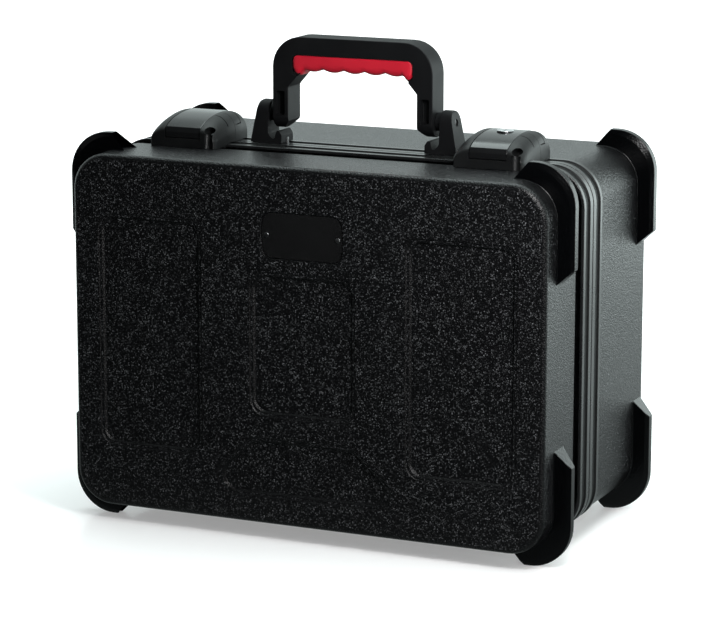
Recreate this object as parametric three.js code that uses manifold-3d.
// A moulded carrying case for microphones, standing on its bottom corner bumpers.
// Millimetres. X runs across the case, Y from the lid's face to the back, Z up.
// The origin is the middle of the case's footprint, on the surface that it stands on.

import * as THREE from 'three';
import { mergeVertices } from 'three/addons/utils/BufferGeometryUtils.js';
import Module from 'manifold-3d';

const wasm = await Module();
wasm.setup();

// Case
const caseWidth = 440;
const caseHeight = 313;
const lidShellDepth = 70;
const lidGrooveWidth = 13;
const valanceWidth = 22;
const partingGap = 1;
const baseShellDepth = 122;
const shellWall = 4;
const faceCornerRadius = 26;
const rimCornerRadius = 32;
const faceEdgeRadius = 11;
const backEdgeRadius = 15;
const neckInset = 7;
const seatGap = 0.3;
const cornerSteps = 5;
const edgeSteps = 4;
const overrun = 5;
const mergeDistance = 0.0001;

// Ribbed valance rings: the section runs from the shell's side to the parting face
const valanceProud = 2;
const valanceSkin = 2.6;
const valanceEdge = 0.8;
const channelStart = 7.5;
const channelWidth = 7;
const channelDepth = 1.2;
const channelSlope = 0.8;
const valanceLeg = 1.7;
const valanceFlange = 5;
const tongueInset = 7;
const tongueWidth = 3.2;
const tongueHeight = 3.2;
const tongueTaper = 0.6;
const tonguePlay = 0.9;

// Corner bumpers, moulded on the shells
const bumperProud = 15;
const bumperCornerRadius = 36;
const bumperRoot = 2;
const bumperCrest = 8;
const bumperEdge = 1.5;
const bumperSlope = 14;
const bumperEndSlope = 13;
const bumperSideReach = 39;
const bumperUprightReach = 86;
const lidBumperStart = 24;
const baseBumperFromBack = 28;

// Sunk panels in the lid's face
const panelDepth = 3;
const panelLedgeDepth = 1;
const panelLip = 5;
const panelLedge = 3.2;
const panelDraft = 1.1;
const sidePanelInner = 100.1;
const sidePanelOuter = 190.4;
const sidePanelBottom = 59.5;
const sidePanelTop = 256.9;
const sidePanelRadius = 10;
const middlePanelHalfWidth = 44.8;
const middlePanelBottom = 100.1;
const middlePanelTop = 217.2;
const middlePanelRadius = 11;
const lowerPanelTopHalfWidth = 45.2;
const lowerPanelBottomHalfWidth = 94;
const lowerPanelBottom = 28.8;
const lowerPanelTop = 72.4;
const lowerPanelRadius = 12;
const panelSteps = 4;

// Bare name plate
const plateHalfWidth = 38.3;
const plateHalfHeight = 19.8;
const plateHeight = 254;
const plateThickness = 1.2;
const plateRecess = 2.7;
const plateRadius = 9;
const plateBow = 2;
const plateRivetSpacing = 66.6;
const plateRivetRadius = 2.2;
const plateRivetShank = 1.1;
const plateRivetHead = 0.7;
const plateRivetLength = 3;

// Foam
const lidFoamThickness = 38;
const lidFoamEdge = 7;
const padThickness = 10;
const trayBelowRim = 3;
const dropColumns = 5;
const dropRows = 3;
const dropDiameter = 50;
const dropPitchX = 78;
const dropPitchZ = 92;
const dropSteps = 12;

// Butt hinges under the parting line
const hingeOffset = 130;
const hingeLength = 60;
const hingeKnuckles = 5;
const knuckleRadius = 4.5;
const hingePinRadius = 1.6;
const hingePinHead = 2.6;
const hingePinHeadLength = 1.5;
const hingeLeafWidth = 18;
const hingeLeafThickness = 1.8;
const hingeRunningGap = 0.4;
const hingeRivetSpacing = 40;
const hingeRivets = 2;
const rivetRadius = 1.6;
const rivetHeadRadius = 3.2;
const rivetHeadHeight = 1.1;
const rivetGrip = 2;
const hingeRivetFromAxis = 13.3;

// Handle, measured from its pivot
const handleDepthPlace = 115;
const pivotAboveShell = 29;
const handleHalfWidth = 75.7;
const handleArmWidth = 14.7;
const handleThickness = 26;
const handleTop = 68;
const handleOuterRadius = 27;
const handleEdge = 2.5;
const handleArmEnd = 13.5;
const handleArmChamfer = 7;
const handleBarUnderside = 41;
const handleGussetFoot = 24;
const handleGussetHead = 46;
const handlePocketWidth = 8.5;
const handlePocketHeight = 21;
const handlePocketDepth = 7;
const handlePocketStart = -1;
const handleSteps = 6;

// Finger grip around the underside of the handle's bar
const gripHalfLength = 57;
const gripTop = 52;
const gripUnderside = 37.5;
const gripLobeFoot = 31;
const gripLobeWidth = 8;
const gripWrap = 3;
const gripInset = 0.4;
const gripRadius = 5;
const gripWaves = 5;
const gripWaveDepth = 2.6;
const gripWaveSteps = 6;

// Handle brackets
const bracketInner = 81.3;
const bracketTopOuter = 91;
const bracketFootOuter = 98;
const bracketToe = 64;
const bracketToeHeight = 11;
const bracketToeWidth = 9;
const bracketValley = 4;
const bracketFootDepth = 24;
const bracketHeadRadius = 10.5;
const bracketBossRadius = 8;
const bracketBossGap = 0.5;
const bracketHeadSteps = 8;
const pivotPinRadius = 3;
const pivotPinHeadRadius = 4.6;
const pivotPinHeadLength = 1.2;
const pivotPinReach = 9;
const pivotPinPlay = 0.3;

// Latches, measured from the parting line and from the valance's outer face
const latchOffset = 143.5;
const latchWidth = 65;
const latchFront = 45.5;
const latchRear = 21.5;
const latchSeam = 5.5;
const latchSeamGap = 0.4;
const latchStripHeight = 7;
const latchStripThickness = 2.5;
const latchFloor = 2.8;
const latchFrontHeight = 16.3;
const latchKneeReach = 26.5;
const latchKneeHeight = 20;
const latchBrowReach = 16.5;
const latchBrowHeight = 25;
const latchCrestHeight = 26;
const latchCrestPlace = 6.5;
const latchRearHeight = 23.3;
const latchSkirtHeight = 4.5;
const latchPinPlace = 9.5;
const latchPinHeight = 14.5;
const latchPinRadius = 1.5;
const latchPinReach = 7;
const leverWidth = 34;
const leverPlay = 0.35;
const leverWall = 2;
const leverInset = 0.8;
const leverEndRadius = 11;
const leverEndTurn = 60;
const leverSteps = 8;
const leverRearSkirt = 13.2;
const leverRearSkirtFrom = 14;
const leverRearSkirtTo = 2;
const leverHeelPlace = 4;
const leverHeelHeight = 10;
const padlockHoleRadius = 3.6;
const padlockHoleSide = 25.5;
const padlockHolePlace = 32;
const padlockScoopRadius = 5.5;
const padlockScoopSide = 32;
const padlockScoopPlace = 36;
const padlockScoopHeight = 9;

// Latch hook and its keeper bar
const hookHalfWidth = 12;
const hookToothHalfWidth = 8;
const hookThickness = 2;
const hookToothThickness = 2.2;
const hookToothGap = 0.8;
const hookToothFoot = 0.8;
const hookRear = 3.5;
const keeperBarPlace = 12;
const keeperBarThickness = 3.5;
const keeperBarHeight = 5.2;

// Key cylinder in the right lever, spigot in the left one
const lockPlace = 5;
const lockHeadRadius = 7.3;
const lockHeadHeight = 1.4;
const lockBodyRadius = 5.8;
const lockBodyLength = 10;
const lockTailRadius = 2.5;
const lockPlay = 0.3;
const lockSlotWidth = 1.2;
const lockSlotLength = 7;
const lockSlotDepth = 0.8;
const camThickness = 1.6;
const camWidth = 5;
const camReach = 14.4;
const camGap = 0.6;
const camFoot = 8;
const ledgeReach = 4.4;
const ledgeThickness = 2.2;
const ledgeLength = 2.7;

// Screws
const screwRadius = 1.6;
const screwHeadRadius = 3;
const screwHeadHeight = 1.6;
const screwReach = 4.5;
const screwClearance = 0.3;
const screwSteps = 8;
const pinSteps = 12;
const latchScrewSide = 24;
const keeperScrewPlace = 12;
const housingScrewPlace = 9;
const bracketScrewInner = 68.5;
const bracketScrewOuter = 89.5;

// Places along the case's depth that follow from the sizes above
const lidValanceStart = lidShellDepth + lidGrooveWidth;
const lidParting = lidValanceStart + valanceWidth;
const baseParting = lidParting + partingGap;
const partingDepth = (lidParting + baseParting) / 2;
const baseShellStart = baseParting + valanceWidth;
const caseDepth = baseShellStart + baseShellDepth;
const neckInner = neckInset + shellWall;
const valanceInner = neckInner + seatGap + valanceLeg;
const valanceTop = caseHeight + valanceProud;
const neckEnd = valanceWidth - valanceFlange - seatGap;

// Materials
const moulded = { color: 0x17191a, roughness: 0.55, metalness: 0 };
const darkAluminium = { color: 0x1d1f20, roughness: 0.35, metalness: 0.6 };
const latchPlastic = { color: 0x2a2d2e, roughness: 0.4, metalness: 0 };
const glossBlack = { color: 0x0b0c0d, roughness: 0.15, metalness: 0 };
const handlePlastic = { color: 0x1b1c1d, roughness: 0.5, metalness: 0 };
const redRubber = { color: 0xc0192b, roughness: 0.5, metalness: 0 };
const foamGrey = { color: 0x2c2c2e, roughness: 0.95, metalness: 0 };
const steel = { color: 0xb4b7ba, roughness: 0.3, metalness: 1 };

const point = (x, y) => new THREE.Vector2(x, y);

// Solids

function solidOf(geometry) {
  const bare = geometry.index ? geometry.toNonIndexed() : geometry.clone();
  bare.deleteAttribute('normal');
  bare.deleteAttribute('uv');
  const merged = mergeVertices(bare, mergeDistance);
  return new wasm.Manifold(new wasm.Mesh({
    numProp: 3,
    vertProperties: new Float32Array(merged.attributes.position.array),
    triVerts: new Uint32Array(merged.index.array),
  }));
}

function geometryOf(solid) {
  const { vertProperties, triVerts } = solid.getMesh();
  const geometry = new THREE.BufferGeometry();
  geometry.setAttribute('position', new THREE.BufferAttribute(vertProperties, 3));
  geometry.setIndex(new THREE.BufferAttribute(triVerts, 1));
  geometry.computeVertexNormals();
  return geometry;
}

function joined(solids) {
  return solids.reduce((whole, solid) => whole.add(solid));
}

function cut(solid, ...tools) {
  return tools.reduce((rest, tool) => rest.subtract(tool), solid);
}

// An outline in X and Z, drawn through the depth from one Y to another
function acrossDepth(outline, start, end) {
  const geometry = new THREE.ExtrudeGeometry(new THREE.Shape(outline), { depth: end - start, bevelEnabled: false });
  geometry.rotateX(Math.PI / 2);
  geometry.translate(0, end, 0);
  return solidOf(geometry);
}

// A side outline in Y and Z, drawn across the width from one X to another
function acrossWidth(outline, start, end) {
  const geometry = new THREE.ExtrudeGeometry(new THREE.Shape(outline), { depth: end - start, bevelEnabled: false });
  const turn = new THREE.Matrix4().makeBasis(
    new THREE.Vector3(0, 1, 0),
    new THREE.Vector3(0, 0, 1),
    new THREE.Vector3(1, 0, 0),
  );
  geometry.applyMatrix4(turn);
  geometry.translate(start, 0, 0);
  return solidOf(geometry);
}

function block(low, high) {
  const size = high.map((value, axis) => value - low[axis]);
  const geometry = new THREE.BoxGeometry(...size);
  geometry.translate(...low.map((value, axis) => value + size[axis] / 2));
  return solidOf(geometry);
}

// A round bar along one axis, from one place on that axis to another
function roundBar(axis, radius, start, end, centre, steps = pinSteps) {
  const geometry = new THREE.CylinderGeometry(radius, radius, end - start, steps);
  geometry.translate(0, (start + end) / 2, 0);
  if (axis === 'x') geometry.rotateZ(-Math.PI / 2);
  if (axis === 'z') geometry.rotateX(Math.PI / 2);
  geometry.translate(...centre);
  return solidOf(geometry);
}

// Rings of equal count, skinned into one closed body. Ends are capped unless the skin closes on itself.
function skin(rings, closed = false) {
  const count = rings[0].length;
  const positions = rings.flat().flatMap((vertex) => vertex.toArray());
  const indices = [];
  const bands = closed ? rings.length : rings.length - 1;
  for (let band = 0; band < bands; band += 1) {
    const here = band * count;
    const next = ((band + 1) % rings.length) * count;
    for (let side = 0; side < count; side += 1) {
      const other = (side + 1) % count;
      indices.push(here + side, next + side, next + other);
      indices.push(here + side, next + other, here + other);
    }
  }
  if (!closed) {
    const last = (rings.length - 1) * count;
    const flat = rings[0].map((vertex) => point(vertex.x, vertex.z));
    for (const [a, b, c] of THREE.ShapeUtils.triangulateShape(flat, [])) {
      indices.push(a, b, c);
    }
    const back = rings[rings.length - 1].map((vertex) => point(vertex.x, vertex.z));
    for (const [a, b, c] of THREE.ShapeUtils.triangulateShape(back, [])) {
      indices.push(last + c, last + b, last + a);
    }
  }
  const geometry = new THREE.BufferGeometry();
  geometry.setAttribute('position', new THREE.Float32BufferAttribute(positions, 3));
  geometry.setIndex(indices);
  return solidOf(geometry);
}

// A convex outline, grown outwards and with every corner rounded
function roundedOutline(corners, radius, grow, steps) {
  const grown = corners.map((corner, index) => {
    const before = corners[(index + corners.length - 1) % corners.length];
    const after = corners[(index + 1) % corners.length];
    const into = corner.clone().sub(before).normalize();
    const out = after.clone().sub(corner).normalize();
    const bisector = point(into.y + out.y, -into.x - out.x);
    return corner.clone().addScaledVector(bisector, grow / (1 + into.dot(out)));
  });
  const bend = Math.max(radius + grow, seatGap);
  return grown.flatMap((corner, index) => {
    const before = grown[(index + grown.length - 1) % grown.length];
    const after = grown[(index + 1) % grown.length];
    const into = corner.clone().sub(before).normalize();
    const out = after.clone().sub(corner).normalize();
    const turn = Math.acos(THREE.MathUtils.clamp(into.dot(out), -1, 1));
    const start = corner.clone().addScaledVector(into, -bend * Math.tan(turn / 2));
    const centre = start.clone().add(point(-into.y, into.x).multiplyScalar(bend));
    const arm = start.sub(centre);
    return Array.from({ length: steps + 1 }, (_, step) => {
      return arm.clone().rotateAround(point(0, 0), (turn * step) / steps).add(centre);
    });
  });
}

const rectangle = (left, bottom, right, top) => [
  point(left, bottom),
  point(right, bottom),
  point(right, top),
  point(left, top),
];

const caseCorners = rectangle(-caseWidth / 2, 0, caseWidth / 2, caseHeight);

// The case's outline at one depth, moved in by an inset, as a ring of points
function caseRing(depth, inset, radius = rimCornerRadius) {
  const outline = roundedOutline(caseCorners, radius, -inset, cornerSteps);
  return outline.map((spot) => new THREE.Vector3(spot.x, depth, spot.y));
}

function caseBody(stations) {
  return skin(stations.map(([depth, inset, radius]) => caseRing(depth, inset, radius)));
}

// A rounded edge as pairs of depth past its start and inset
function edgeRound(radius) {
  return Array.from({ length: edgeSteps + 1 }, (_, step) => {
    const angle = (step / edgeSteps) * (Math.PI / 2);
    return [radius * (1 - Math.cos(angle)), radius * (1 - Math.sin(angle))];
  });
}

// Shells

function sunkPanel(corners, radius) {
  const stations = [
    [-overrun, panelLip],
    [0, panelLip],
    [panelLedgeDepth, panelLip - panelDraft],
    [panelLedgeDepth, panelLip - panelLedge],
    [panelDepth, 0],
  ];
  return skin(stations.map(([depth, grow]) => {
    const outline = roundedOutline(corners, radius, grow, panelSteps);
    return outline.map((spot) => new THREE.Vector3(spot.x, depth, spot.y));
  }));
}

// The same panel seen from inside the shell, one wall further in
function panelLand(corners, radius) {
  const outline = roundedOutline(corners, radius, panelLip, panelSteps);
  return acrossDepth(outline, 0, panelDepth + shellWall);
}

const lowerPanelCorners = [
  point(-lowerPanelBottomHalfWidth, lowerPanelBottom),
  point(lowerPanelBottomHalfWidth, lowerPanelBottom),
  point(lowerPanelTopHalfWidth, lowerPanelTop),
  point(-lowerPanelTopHalfWidth, lowerPanelTop),
];

const facePanels = [
  [rectangle(-sidePanelOuter, sidePanelBottom, -sidePanelInner, sidePanelTop), sidePanelRadius],
  [rectangle(sidePanelInner, sidePanelBottom, sidePanelOuter, sidePanelTop), sidePanelRadius],
  [
    rectangle(-middlePanelHalfWidth, middlePanelBottom, middlePanelHalfWidth, middlePanelTop),
    middlePanelRadius,
  ],
  [lowerPanelCorners, lowerPanelRadius],
];

function plateOutline(grow) {
  const side = plateHalfWidth - plateBow;
  const corners = [
    point(-side, plateHeight - plateHalfHeight),
    point(side, plateHeight - plateHalfHeight),
    point(plateHalfWidth, plateHeight),
    point(side, plateHeight + plateHalfHeight),
    point(-side, plateHeight + plateHalfHeight),
    point(-plateHalfWidth, plateHeight),
  ];
  return roundedOutline(corners, plateRadius, grow, panelSteps);
}

// Two L-shaped mouldings at the top corners and two at the bottom ones
function bumpers(start, landing) {
  const ring = (depth, inset) => {
    const share = (bumperRoot - inset) / (bumperRoot + bumperProud);
    const radius = THREE.MathUtils.lerp(rimCornerRadius, bumperCornerRadius + inset, share);
    return caseRing(depth, inset, radius);
  };
  const body = skin([
    ring(start, bumperRoot),
    ring(start, -bumperProud + bumperEdge),
    ring(start + bumperEdge, -bumperProud),
    ring(start + bumperEdge + bumperCrest, -bumperProud),
    ring(start + 2 * bumperEdge + bumperCrest, -bumperProud + bumperEdge),
    ring(landing, bumperRoot),
  ], true);
  const tip = caseWidth / 2 - bumperSideReach;
  const shoulder = caseHeight - bumperUprightReach;
  const slope = bumperEndSlope / bumperProud;
  const past = bumperProud + overrun;
  const corner = [
    point(tip - overrun * slope, caseHeight - overrun),
    point(caseWidth / 2 - overrun, shoulder - overrun * slope),
    point(caseWidth / 2 + past, shoulder + past * slope),
    point(caseWidth / 2 + past, caseHeight + past),
    point(tip + past * slope, caseHeight + past),
  ];
  const topRight = acrossDepth(corner, 0, caseDepth);
  const topLeft = topRight.mirror([1, 0, 0]);
  const topPair = topRight.add(topLeft);
  const bottomPair = topPair.mirror([0, 0, 1]).translate([0, 0, caseHeight]);
  return body.intersect(topPair.add(bottomPair));
}

function lidShell() {
  const front = edgeRound(faceEdgeRadius);
  const outer = caseBody([
    ...front.map(([depth, inset]) => [depth, inset, faceCornerRadius]),
    [lidShellDepth, 0, rimCornerRadius],
    [lidShellDepth, neckInset, rimCornerRadius],
    [lidValanceStart + neckEnd, neckInset, rimCornerRadius],
  ]);
  const inner = edgeRound(faceEdgeRadius - shellWall);
  const cavity = caseBody([
    ...inner.map(([depth, inset]) => [depth + shellWall, inset + shellWall, faceCornerRadius]),
    [lidShellDepth - shellWall, shellWall, rimCornerRadius],
    [lidShellDepth, neckInner, rimCornerRadius],
    [lidValanceStart + valanceWidth, neckInner, rimCornerRadius],
  ]);
  const lands = joined(facePanels.map(([corners, radius]) => panelLand(corners, radius)));
  const landing = lidBumperStart + bumperCrest + bumperSlope;
  const plateSink = acrossDepth(plateOutline(seatGap), -overrun, plateRecess);
  const rivetHoles = plateRivetPlaces.map((x) => {
    const end = shellWall + overrun;
    const radius = plateRivetShank + seatGap;
    return roundBar('y', radius, -overrun, end, [x, 0, plateHeight], screwSteps);
  });
  return cut(
    outer.add(bumpers(lidBumperStart, landing)),
    cavity.subtract(lands),
    ...facePanels.map(([corners, radius]) => sunkPanel(corners, radius)),
    plateSink,
    ...rivetHoles,
  );
}

function baseShell() {
  const shoulder = baseShellStart + seatGap;
  const back = edgeRound(backEdgeRadius).reverse();
  const outer = caseBody([
    [baseShellStart - neckEnd, neckInset],
    [shoulder, neckInset],
    [shoulder, 0],
    ...back.map(([depth, inset]) => [caseDepth - depth, inset]),
  ]);
  const inner = edgeRound(backEdgeRadius - shellWall).reverse();
  const cavity = caseBody([
    [baseParting, neckInner],
    [shoulder, neckInner],
    [shoulder + shellWall, shellWall],
    ...inner.map(([depth, inset]) => [caseDepth - shellWall - depth, inset + shellWall]),
  ]);
  const start = caseDepth - baseBumperFromBack;
  const landing = start + bumperCrest + bumperSlope - bumperEdge;
  return outer.add(bumpers(start, landing)).subtract(cavity);
}

// Valance rings. The section's points are an inset and a distance from the shell's side.
function valance(place, section, screws) {
  const ring = skin(section.map(([inset, along]) => caseRing(place(along), inset)), true);
  return cut(ring, ...screws);
}

const valanceOuterEdge = [
  [-valanceProud + valanceEdge, 0],
  [-valanceProud, valanceEdge],
  [-valanceProud, channelStart],
  [-valanceProud + channelDepth, channelStart + channelSlope],
  [-valanceProud + channelDepth, channelStart + channelWidth - channelSlope],
  [-valanceProud, channelStart + channelWidth],
  [-valanceProud, valanceWidth - valanceEdge],
  [-valanceProud + valanceEdge, valanceWidth],
];

const valanceInnerEdge = [
  [valanceInner, valanceWidth],
  [valanceInner, valanceFlange],
  [neckInner + seatGap, valanceFlange],
  [neckInner + seatGap, valanceWidth - valanceFlange],
  [valanceSkin - valanceProud, valanceWidth - valanceFlange],
  [valanceSkin - valanceProud, 0],
];

const tongueHalf = tongueWidth / 2;

const tongueEdge = [
  [tongueInset - tongueHalf, valanceWidth],
  [tongueInset - tongueHalf + tongueTaper, valanceWidth + tongueHeight],
  [tongueInset + tongueHalf - tongueTaper, valanceWidth + tongueHeight],
  [tongueInset + tongueHalf, valanceWidth],
];

const grooveFloor = valanceWidth - (tongueHeight - partingGap) - tonguePlay;

const grooveEdge = [
  [tongueInset - tongueHalf - tonguePlay, valanceWidth],
  [tongueInset - tongueHalf - tonguePlay + tongueTaper, grooveFloor],
  [tongueInset + tongueHalf + tonguePlay - tongueTaper, grooveFloor],
  [tongueInset + tongueHalf + tonguePlay, valanceWidth],
];

// Screws and rivets

function screw(head, tip, radius, headRadius, headHeight) {
  const shank = roundBar('z', radius, Math.min(head, tip), Math.max(head, tip), [0, 0, 0], screwSteps);
  const under = Math.sign(head - tip) * headHeight;
  const cap = new THREE.CylinderGeometry(headRadius, headRadius, headHeight, screwSteps);
  cap.rotateX(Math.PI / 2);
  cap.translate(0, 0, head + under / 2);
  return shank.add(solidOf(cap));
}

function screwHole(radius, from, to, place) {
  return roundBar('z', radius + screwClearance, from, to, place, screwSteps);
}

const skinInside = valanceTop - valanceSkin - seatGap;
const latchScrewTop = valanceTop + screwReach;
const mirrored = [-1, 1];
const latchSpots = mirrored.map((side) => side * latchOffset);

function topScrews(places) {
  return places.map(([x, y]) => {
    const body = screw(skinInside, latchScrewTop, screwRadius, screwHeadRadius, screwHeadHeight);
    return body.translate([x, y, 0]);
  });
}

function topScrewHoles(places) {
  return places.map(([x, y]) => screwHole(screwRadius, skinInside - overrun, latchScrewTop + seatGap, [x, y, 0]));
}

const latchScrewPlaces = (place) => latchSpots.flatMap((x) => {
  return mirrored.map((side) => [x + side * latchScrewSide, place]);
});

const keeperScrews = latchScrewPlaces(partingDepth - keeperScrewPlace);
const housingScrews = latchScrewPlaces(partingDepth + housingScrewPlace);
const bracketScrews = mirrored.flatMap((side) => {
  return [bracketScrewInner, bracketScrewOuter].map((x) => [side * x, handleDepthPlace + partingGap]);
});

// Hinges. Their axis lies below the valances, level with the parting line.
const hingeHeight = -valanceProud - seatGap - knuckleRadius;
const leafTop = -valanceProud - seatGap;
const leafUnder = leafTop - hingeLeafThickness;

function hingeRivetPlaces(side) {
  const middle = (hingeRivets - 1) / 2;
  return mirrored.flatMap((mirror) => {
    return Array.from({ length: hingeRivets }, (_, index) => [
      mirror * hingeOffset + (index - middle) * hingeRivetSpacing,
      partingDepth + side * hingeRivetFromAxis,
    ]);
  });
}

function hingeRivetSet(side) {
  return hingeRivetPlaces(side).map(([x, y]) => {
    const head = leafUnder - seatGap;
    const tip = leafTop + valanceSkin + rivetGrip;
    return screw(head, tip, rivetRadius, rivetHeadRadius, rivetHeadHeight).translate([x, y, 0]);
  });
}

function hingeRivetHoles(side) {
  const end = leafTop + valanceSkin + rivetGrip + seatGap;
  return hingeRivetPlaces(side).map(([x, y]) => screwHole(rivetRadius, leafUnder - overrun, end, [x, y, 0]));
}

// A leaf, in the hinge's own frame: X along the pin, the axis at the origin
function hingeLeaf(side) {
  const half = hingeLength / 2;
  const knuckle = hingeLength / hingeKnuckles;
  const top = knuckleRadius;
  const plate = block(
    [-half, Math.min(0, side * hingeLeafWidth), top - hingeLeafThickness],
    [half, Math.max(0, side * hingeLeafWidth), top],
  );
  const own = [];
  const other = [];
  for (let index = 0; index < hingeKnuckles; index += 1) {
    const start = -half + index * knuckle;
    const isBase = index % 2 === 0;
    if (isBase === (side > 0)) {
      const low = start + (index === 0 ? 0 : hingeRunningGap / 2);
      const high = start + knuckle - (index === hingeKnuckles - 1 ? 0 : hingeRunningGap / 2);
      own.push(roundBar('x', knuckleRadius, low, high, [0, 0, 0]));
    } else {
      const low = start - hingeRunningGap / 2;
      const high = start + knuckle + hingeRunningGap / 2;
      other.push(roundBar('x', knuckleRadius + 2 * hingeRunningGap, low, high, [0, 0, 0]));
    }
  }
  const bore = roundBar('x', hingePinRadius + seatGap, -half - overrun, half + overrun, [0, 0, 0]);
  return cut(joined([plate, ...own]), ...other, bore);
}

function hingePin() {
  const half = hingeLength / 2;
  const heads = mirrored.map((side) => {
    const inner = side * (half + seatGap);
    const outer = side * (half + seatGap + hingePinHeadLength);
    return roundBar('x', hingePinHead, Math.min(inner, outer), Math.max(inner, outer), [0, 0, 0]);
  });
  return joined([roundBar('x', hingePinRadius, -half - seatGap, half + seatGap, [0, 0, 0]), ...heads]);
}

function placedLeaf(mirror, side) {
  const leaf = hingeLeaf(side).translate([mirror * hingeOffset, partingDepth, hingeHeight]);
  return cut(leaf, ...hingeRivetHoles(side));
}

// Handle, in a frame whose origin is the middle of its pivot line

function handleOutline() {
  const inner = handleHalfWidth - handleArmWidth;
  const right = [];
  right.push(point(inner, handleGussetFoot));
  right.push(point(inner, -handleArmEnd + handleArmChamfer));
  right.push(point(inner + handleArmChamfer, -handleArmEnd));
  right.push(point(handleHalfWidth, -handleArmEnd));
  const centre = point(handleHalfWidth - handleOuterRadius, handleTop - handleOuterRadius);
  for (let step = 0; step <= handleSteps; step += 1) {
    const angle = (step / handleSteps) * (Math.PI / 2);
    right.push(point(
      centre.x + handleOuterRadius * Math.cos(angle),
      centre.y + handleOuterRadius * Math.sin(angle),
    ));
  }
  const left = right.map((spot) => point(-spot.x, spot.y)).reverse();
  return [
    point(-handleGussetHead, handleBarUnderside),
    point(handleGussetHead, handleBarUnderside),
    ...right,
    ...left,
  ];
}

// The arms' lower ends are round about the pivot, and the long edges are bevelled
function handleFrame() {
  const shape = new THREE.Shape(handleOutline());
  const geometry = new THREE.ExtrudeGeometry(shape, {
    depth: handleThickness - 2 * handleEdge,
    bevelEnabled: true,
    bevelThickness: handleEdge,
    bevelSize: handleEdge,
    bevelOffset: -handleEdge,
    bevelSegments: 2,
  });
  geometry.rotateX(Math.PI / 2);
  geometry.translate(0, handleThickness / 2 - handleEdge, 0);
  const half = handleThickness / 2;
  const side = [point(half, handleTop + overrun), point(-half, handleTop + overrun)];
  for (let step = 0; step <= 2 * handleSteps; step += 1) {
    const angle = Math.PI + (step / (2 * handleSteps)) * Math.PI;
    side.push(point(half * Math.cos(angle), handleArmEnd * Math.sin(angle)));
  }
  const envelope = acrossWidth(side, -handleHalfWidth - overrun, handleHalfWidth + overrun);
  const armMiddle = handleHalfWidth - handleArmWidth / 2;
  const cuts = [gripSink(1), gripSink(-1)];
  for (const mirror of mirrored) {
    const bore = pivotPinRadius + pivotPinPlay;
    const inside = handleHalfWidth - pivotPinReach - pivotPinPlay;
    const from = mirror > 0 ? inside : -handleHalfWidth - overrun;
    const to = mirror > 0 ? handleHalfWidth + overrun : -inside;
    cuts.push(roundBar('x', bore, from, to, [0, 0, 0]));
    for (const face of mirrored) {
      const near = face * (half - handlePocketDepth);
      const far = face * (half + overrun);
      cuts.push(block(
        [mirror * armMiddle - handlePocketWidth / 2, Math.min(near, far), handlePocketStart],
        [mirror * armMiddle + handlePocketWidth / 2, Math.max(near, far), handlePocketStart + handlePocketHeight],
      ));
    }
  }
  return cut(solidOf(geometry).intersect(envelope), ...cuts);
}

function gripBoundary(grow) {
  return roundedOutline(
    rectangle(-gripHalfLength, gripLobeFoot, gripHalfLength, gripTop),
    gripRadius,
    grow,
    panelSteps,
  );
}

// The sunk seat for the grip in one face of the bar
function gripSink(face) {
  const near = face * (handleThickness / 2 - gripWrap);
  const far = face * (handleThickness / 2 + overrun);
  return acrossDepth(gripBoundary(seatGap), Math.min(near, far), Math.max(near, far));
}

function gripUnderEdge() {
  const reach = gripHalfLength - gripLobeWidth;
  const steps = gripWaves * gripWaveSteps;
  const wave = Array.from({ length: steps + 1 }, (_, step) => {
    const x = reach - overrun + ((overrun - reach) * 2 * step) / steps;
    const phase = (Math.PI * gripWaves * step) / steps;
    return point(x, gripUnderside + gripWaveDepth * (1 - Math.abs(Math.sin(phase))));
  });
  return [point(reach, gripLobeFoot - overrun), ...wave, point(-reach, gripLobeFoot - overrun)];
}

function fingerGrip() {
  const half = handleThickness / 2 - gripInset;
  const core = handleThickness / 2 - gripWrap + seatGap;
  const sleeve = acrossDepth(gripBoundary(0), -half, half);
  const fingers = acrossDepth(gripUnderEdge(), -half - overrun, half + overrun);
  const inner = handleHalfWidth - handleArmWidth;
  const gussetSlope = (handleBarUnderside - handleGussetFoot) / (inner - handleGussetHead);
  const drop = handleBarUnderside - seatGap - gussetSlope * (handleHalfWidth - handleGussetHead);
  const under = [
    point(handleGussetHead, handleBarUnderside - seatGap),
    point(handleHalfWidth, drop),
    point(handleHalfWidth, handleTop),
    point(-handleHalfWidth, handleTop),
    point(-handleHalfWidth, drop),
    point(-handleGussetHead, handleBarUnderside - seatGap),
  ];
  return cut(sleeve, fingers, acrossDepth(under, -core, core));
}

// Brackets that carry the handle, in the handle's frame
const bracketSeat = valanceProud + seatGap - pivotAboveShell;

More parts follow.
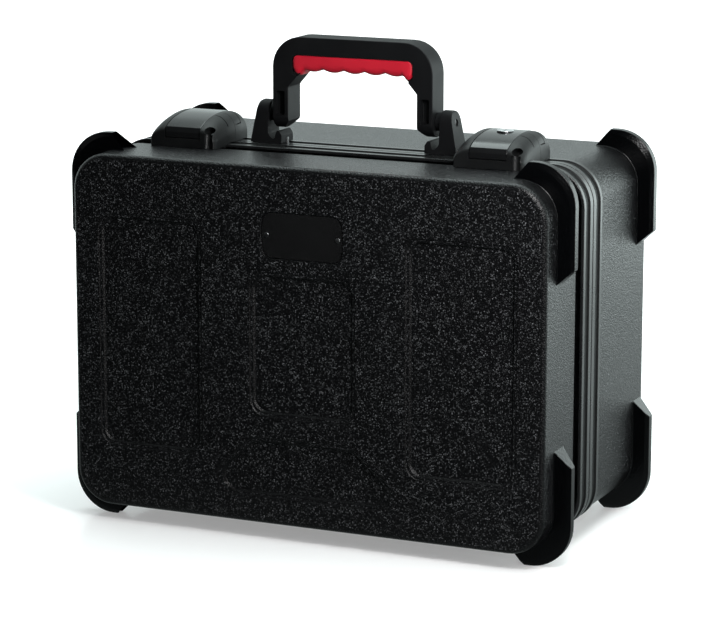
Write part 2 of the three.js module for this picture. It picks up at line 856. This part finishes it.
function bracket(mirror) {
  const top = bracketHeadRadius;
  const front = [
    point(bracketFootOuter, bracketSeat),
    point(bracketTopOuter, top),
    point(bracketInner, top),
    point(bracketInner, bracketSeat + 2 * bracketValley),
    point(bracketInner - bracketValley, bracketSeat + bracketValley),
    point(bracketToe + bracketToeWidth + bracketValley / 2, bracketSeat + bracketValley),
    point(bracketToe + bracketToeWidth, bracketSeat + bracketToeHeight),
    point(bracketToe + bracketToeWidth / 2, bracketSeat + bracketToeHeight),
    point(bracketToe, bracketSeat + bracketToeHeight - bracketValley),
    point(bracketToe, bracketSeat),
  ].reverse();
  const half = bracketFootDepth / 2;
  const side = [point(-half, bracketSeat), point(half, bracketSeat)];
  for (let step = 0; step <= bracketHeadSteps; step += 1) {
    const angle = (step / bracketHeadSteps) * Math.PI;
    side.push(point(bracketHeadRadius * Math.cos(angle), bracketHeadRadius * Math.sin(angle)));
  }
  const post = acrossDepth(front, -half - overrun, half + overrun);
  const outline = acrossWidth(side, bracketToe - overrun, bracketFootOuter + overrun);
  const boss = roundBar('x', bracketBossRadius, handleHalfWidth + bracketBossGap, bracketInner + seatGap, [0, 0, 0]);
  const bore = roundBar(
    'x',
    pivotPinRadius + pivotPinPlay,
    handleHalfWidth,
    bracketFootOuter + overrun,
    [0, 0, 0],
  );
  const body = cut(post.intersect(outline).add(boss), bore);
  return mirror > 0 ? body : body.mirror([1, 0, 0]);
}

function pivotPin(mirror) {
  const outer = bracketTopOuter + seatGap + (bracketFootOuter - bracketTopOuter) / 2;
  const shank = roundBar('x', pivotPinRadius, handleHalfWidth - pivotPinReach, outer, [0, 0, 0]);
  const head = roundBar('x', pivotPinHeadRadius, outer, outer + pivotPinHeadLength, [0, 0, 0]);
  const body = shank.add(head);
  return mirror > 0 ? body : body.mirror([1, 0, 0]);
}

// Latches, in a frame whose origin is on the parting line, on the valance's outer face
const latchSeat = seatGap;
const shoulderShares = [[1, 0], [0.95, 0.26], [0.8, 0.54], [0.55, 0.78], [0.25, 0.94], [0, 1]];

function latchEnvelope() {
  const side = [
    point(-latchFront, latchSeat),
    point(latchRear, latchSeat),
    point(latchRear, latchRearHeight - leverWall),
    point(latchRear - leverWall, latchRearHeight),
    point(latchCrestPlace, latchCrestHeight),
    point(-latchBrowReach, latchBrowHeight),
    point(-latchKneeReach, latchKneeHeight),
    point(-latchFront + leverWall, latchFrontHeight),
    point(-latchFront, latchFrontHeight - leverWall),
  ];
  const inner = leverWidth / 2 + leverPlay;
  const spread = latchWidth / 2 - inner;
  const rise = latchCrestHeight - latchSkirtHeight;
  const right = shoulderShares.map(([across, upward]) => {
    return point(inner + spread * across, latchSkirtHeight + rise * upward);
  });
  const left = right.map((spot) => point(-spot.x, spot.y)).reverse();
  const front = [
    point(-latchWidth / 2, latchSeat),
    point(latchWidth / 2, latchSeat),
    ...right,
    ...left,
  ];
  const length = acrossWidth(side, -latchWidth / 2 - overrun, latchWidth / 2 + overrun);
  return length.intersect(acrossDepth(front, -latchFront - overrun, latchRear + overrun));
}

function leverTrough() {
  const half = leverWidth / 2 + leverPlay;
  const above = latchCrestHeight + overrun;
  const open = block(
    [-half, -latchFront - overrun, latchStripHeight],
    [half, latchRear + overrun, above],
  );
  const well = block(
    [-half, -latchFront + latchStripThickness, latchFloor],
    [half, latchRear + overrun, above],
  );
  return open.add(well);
}

function padlockCut() {
  const hole = roundBar(
    'z',
    padlockHoleRadius,
    -overrun,
    latchCrestHeight + overrun,
    [padlockHoleSide, -padlockHolePlace, 0],
    screwSteps,
  );
  const scoop = roundBar(
    'z',
    padlockScoopRadius,
    -overrun,
    padlockScoopHeight,
    [padlockScoopSide, -padlockScoopPlace, 0],
    screwSteps,
  );
  return hole.add(scoop);
}

const wideBlock = (start, end) => block(
  [-latchWidth, start, -overrun],
  [latchWidth, end, latchCrestHeight + overrun],
);

function latchKeeper() {
  const half = leverWidth / 2 + leverPlay;
  const lidHalf = latchEnvelope().intersect(wideBlock(-latchFront - overrun, -latchSeam));
  const bar = block(
    [-half - overrun, -keeperBarPlace, latchSeat],
    [half + overrun, -keeperBarPlace + keeperBarThickness, latchFloor + keeperBarHeight],
  );
  return cut(lidHalf, leverTrough(), padlockCut()).add(bar);
}

function latchHousing(hasLock) {
  const half = leverWidth / 2 + leverPlay;
  const baseHalf = latchEnvelope().intersect(wideBlock(-latchSeam + latchSeamGap, latchRear + overrun));
  const pinEnd = leverWidth / 2 + latchPinReach + seatGap;
  const bore = roundBar('x', latchPinRadius + seatGap, -pinEnd, pinEnd, [0, latchPinPlace, latchPinHeight]);
  const cheeks = cut(baseHalf, leverTrough(), bore);
  if (!hasLock) return cheeks;
  const start = -latchSeam + latchSeamGap;
  const under = camFoot + camThickness + camGap;
  return cheeks.add(block(
    [-half - overrun, start, under],
    [-half + ledgeReach, start + ledgeLength, under + ledgeThickness],
  ));
}

function leverArc(radius) {
  return Array.from({ length: leverSteps + 1 }, (_, step) => {
    const sweep = Math.PI / 2 + THREE.MathUtils.degToRad(leverEndTurn);
    const angle = Math.PI / 2 - (step / leverSteps) * sweep;
    return point(latchPinPlace + radius * Math.cos(angle), latchPinHeight + radius * Math.sin(angle));
  });
}

function latchLever(hasLock) {
  const front = -latchFront + leverInset;
  const foot = latchStripHeight + leverPlay;
  const outer = [
    point(front, foot),
    point(front, latchFrontHeight - leverWall),
    point(front + leverWall, latchFrontHeight),
    point(-latchKneeReach, latchKneeHeight),
    point(-latchBrowReach, latchBrowHeight),
    ...leverArc(leverEndRadius),
    point(leverHeelPlace, leverHeelHeight),
    point(leverRearSkirtTo, leverRearSkirt),
    point(-leverRearSkirtFrom, leverRearSkirt),
    point(-leverRearSkirtFrom, foot),
  ].reverse();
  const innerArc = leverArc(leverEndRadius - leverWall);
  const arcEnd = innerArc[innerArc.length - 1];
  const inner = [
    point(front + leverWall, -overrun),
    point(front + leverWall, latchFrontHeight - leverWall),
    point(-latchKneeReach, latchKneeHeight - leverWall),
    point(-latchBrowReach, latchBrowHeight - leverWall),
    ...innerArc,
    point(arcEnd.x, -overrun),
  ].reverse();
  const half = leverWidth / 2;
  const shell = acrossWidth(outer, -half, half);
  const hollow = acrossWidth(inner, -half + leverWall, half - leverWall);
  const bore = roundBar('x', latchPinRadius + seatGap, -half - overrun, half + overrun, [
    0,
    latchPinPlace,
    latchPinHeight,
  ]);
  const body = cut(shell, hollow, bore);
  const top = latchBrowHeight + overrun;
  if (hasLock) {
    return body.subtract(roundBar('z', lockBodyRadius + lockPlay, 0, top, [0, -lockPlace, 0]));
  }
  const spigotFoot = hookTop - hookThickness - seatGap;
  const inside = latchBrowHeight - leverWall / 2;
  return body.add(roundBar('z', lockBodyRadius, spigotFoot, inside, [0, -lockPlace, 0]));
}

const hookTop = latchBrowHeight - leverWall - seatGap;

// A steel plate under the lever's top, bent down in front into a tooth that holds the keeper bar
function latchHook() {
  const rear = hookRear;
  const toothRear = -keeperBarPlace - hookToothGap;
  const toothFront = toothRear - hookToothThickness;
  const plate = block(
    [-hookHalfWidth, toothFront, hookTop - hookThickness],
    [hookHalfWidth, rear, hookTop],
  );
  const tooth = block(
    [-hookToothHalfWidth, toothFront, latchFloor + hookToothFoot],
    [hookToothHalfWidth, toothRear, hookTop - hookThickness / 2],
  );
  const eye = roundBar(
    'z',
    lockBodyRadius + lockPlay,
    hookTop - hookThickness - overrun,
    hookTop + overrun,
    [0, -lockPlace, 0],
  );
  return plate.add(tooth).subtract(eye);
}

function latchPin() {
  const reach = leverWidth / 2 + latchPinReach;
  return roundBar('x', latchPinRadius, -reach, reach, [0, latchPinPlace, latchPinHeight]);
}

function lockCylinder() {
  const place = [0, -lockPlace, 0];
  const crown = latchBrowHeight + lockHeadHeight;
  const head = roundBar('z', lockHeadRadius, latchBrowHeight + 2 * seatGap, crown, place, 2 * screwSteps);
  const body = roundBar('z', lockBodyRadius, latchBrowHeight - lockBodyLength, crown - lockSlotDepth, place);
  const tail = roundBar('z', lockTailRadius, camFoot, latchBrowHeight - lockBodyLength / 2, place, screwSteps);
  const slot = block(
    [-lockSlotWidth / 2, -lockPlace - lockSlotLength / 2, crown - lockSlotDepth],
    [lockSlotWidth / 2, -lockPlace + lockSlotLength / 2, crown + overrun],
  );
  return joined([head, body, tail]).subtract(slot);
}

function lockCam() {
  const half = camWidth / 2;
  const finger = block(
    [-half, -lockPlace, camFoot],
    [half, -lockPlace + camReach, camFoot + camThickness],
  );
  const hub = roundBar('z', lockTailRadius + half, camFoot, camFoot + camThickness, [0, -lockPlace, 0]);
  const bore = roundBar('z', lockTailRadius + seatGap, 0, latchCrestHeight, [0, -lockPlace, 0], screwSteps);
  return finger.add(hub).subtract(bore);
}

// Name plate and its rivets
const plateRivetPlaces = mirrored.map((side) => (side * plateRivetSpacing) / 2);

function namePlate() {
  const back = plateRecess - seatGap;
  const sheet = acrossDepth(plateOutline(0), back - plateThickness, back);
  const holes = plateRivetPlaces.map((x) => {
    return roundBar('y', plateRivetShank + seatGap, -overrun, overrun, [x, 0, plateHeight], screwSteps);
  });
  return cut(sheet, ...holes);
}

function plateRivets() {
  const face = plateRecess - plateThickness - 2 * seatGap;
  return plateRivetPlaces.map((x) => {
    const centre = [x, 0, plateHeight];
    const head = roundBar('y', plateRivetRadius, face - plateRivetHead, face, centre, screwSteps);
    const shank = roundBar('y', plateRivetShank, face - seatGap, face + plateRivetLength, centre, screwSteps);
    return head.add(shank);
  });
}

// Foam

function lidFoam() {
  const front = panelDepth + shellWall + seatGap;
  return caseBody([
    [front, shellWall + lidFoamEdge],
    [front + lidFoamEdge, shellWall + seatGap],
    [front + lidFoamThickness, shellWall + seatGap],
  ]);
}

const padFront = caseDepth - shellWall - seatGap - padThickness;

function foamPad() {
  const reach = backEdgeRadius - shellWall;
  return caseBody([
    [padFront, shellWall + 2 * seatGap],
    [caseDepth - shellWall - seatGap, shellWall + reach],
  ]);
}

function dropPlaces() {
  const places = [];
  for (let row = 0; row < dropRows; row += 1) {
    for (let column = 0; column < dropColumns; column += 1) {
      const x = (column - (dropColumns - 1) / 2) * dropPitchX;
      const z = caseHeight / 2 + (row - (dropRows - 1) / 2) * dropPitchZ;
      places.push([x, z]);
    }
  }
  return places;
}

function foamTray() {
  const front = baseParting + trayBelowRim;
  const back = padFront - seatGap;
  const shoulder = baseShellStart + shellWall + seatGap;
  const body = caseBody([
    [front, valanceInner + seatGap],
    [baseShellStart - valanceFlange, valanceInner + seatGap],
    [shoulder, valanceInner + seatGap],
    [shoulder + neckInset, shellWall + seatGap],
    [back, shellWall + seatGap],
  ]);
  const drops = dropPlaces().map(([x, z]) => {
    return roundBar('y', dropDiameter / 2, front - overrun, back + overrun, [x, 0, z], dropSteps);
  });
  return cut(body, ...drops);
}

// The scene: everything stands in a group whose origin is the shell's lower front edge
const microphoneCase = new THREE.Group();
const assembly = new THREE.Group();
assembly.position.set(0, -caseDepth / 2, bumperProud);
microphoneCase.add(assembly);

function place(parent, name, solid, finish) {
  const mesh = new THREE.Mesh(geometryOf(solid), new THREE.MeshStandardMaterial(finish));
  mesh.name = name;
  parent.add(mesh);
}

function placeEach(parent, name, solids, finish) {
  solids.forEach((solid, index) => place(parent, `${name}_${index + 1}`, solid, finish));
}

place(assembly, 'lid_shell', lidShell(), moulded);
place(assembly, 'base_shell', baseShell(), moulded);

place(assembly, 'lid_valance', valance(
  (along) => lidValanceStart + along,
  [...valanceOuterEdge, ...grooveEdge, ...valanceInnerEdge],
  [...topScrewHoles(keeperScrews), ...hingeRivetHoles(-1)],
), darkAluminium);

place(assembly, 'base_valance', valance(
  (along) => baseShellStart - along,
  [...valanceOuterEdge, ...tongueEdge, ...valanceInnerEdge].reverse(),
  [...topScrewHoles(housingScrews), ...topScrewHoles(bracketScrews), ...hingeRivetHoles(1)],
), darkAluminium);

place(assembly, 'name_plate', namePlate(), glossBlack);
placeEach(assembly, 'name_plate_rivet', plateRivets(), steel);
place(assembly, 'lid_foam', lidFoam(), foamGrey);
place(assembly, 'foam_tray', foamTray(), foamGrey);
place(assembly, 'foam_pad', foamPad(), foamGrey);

for (const mirror of mirrored) {
  const sideName = mirror < 0 ? 'left' : 'right';
  place(assembly, `hinge_leaf_lid_${sideName}`, placedLeaf(mirror, -1), steel);
  place(assembly, `hinge_leaf_base_${sideName}`, placedLeaf(mirror, 1), steel);
  const hinge = new THREE.Group();
  hinge.position.set(mirror * hingeOffset, partingDepth, hingeHeight);
  assembly.add(hinge);
  place(hinge, `hinge_pin_${sideName}`, hingePin(), steel);
}
placeEach(assembly, 'hinge_rivet_lid', hingeRivetSet(-1), steel);
placeEach(assembly, 'hinge_rivet_base', hingeRivetSet(1), steel);

const handle = new THREE.Group();
handle.position.set(0, handleDepthPlace, caseHeight + pivotAboveShell);
assembly.add(handle);
place(handle, 'handle_frame', handleFrame(), handlePlastic);
place(handle, 'handle_grip', fingerGrip(), redRubber);

function bracketHoles(mirror) {
  const toHandle = [0, -handleDepthPlace, -caseHeight - pivotAboveShell];
  const near = bracketScrews.filter(([x]) => Math.sign(x) === mirror);
  return topScrewHoles(near).map((hole) => hole.translate(toHandle));
}

for (const mirror of mirrored) {
  const sideName = mirror < 0 ? 'left' : 'right';
  place(handle, `handle_bracket_${sideName}`, cut(bracket(mirror), ...bracketHoles(mirror)), handlePlastic);
  place(handle, `handle_pin_${sideName}`, pivotPin(mirror), steel);
}
placeEach(assembly, 'bracket_screw', topScrews(bracketScrews), steel);

for (const mirror of mirrored) {
  const sideName = mirror < 0 ? 'left' : 'right';
  const hasLock = mirror > 0;
  const latch = new THREE.Group();
  latch.position.set(mirror * latchOffset, partingDepth, valanceTop);
  assembly.add(latch);
  const toLatch = [-mirror * latchOffset, -partingDepth, -valanceTop];
  const holesFor = (places) => topScrewHoles(places).map((hole) => hole.translate(toLatch));
  place(latch, `latch_keeper_${sideName}`, cut(latchKeeper(), ...holesFor(keeperScrews)), latchPlastic);
  place(latch, `latch_housing_${sideName}`, cut(latchHousing(hasLock), ...holesFor(housingScrews)), latchPlastic);
  place(latch, `latch_lever_${sideName}`, latchLever(hasLock), glossBlack);
  place(latch, `latch_hook_${sideName}`, latchHook(), steel);
  place(latch, `latch_pin_${sideName}`, latchPin(), steel);
  if (hasLock) {
    place(latch, 'lock_cylinder', lockCylinder(), steel);
    place(latch, 'lock_cam', lockCam(), steel);
  }
}
placeEach(assembly, 'keeper_screw', topScrews(keeperScrews), steel);
placeEach(assembly, 'housing_screw', topScrews(housingScrews), steel);

export default microphoneCase;
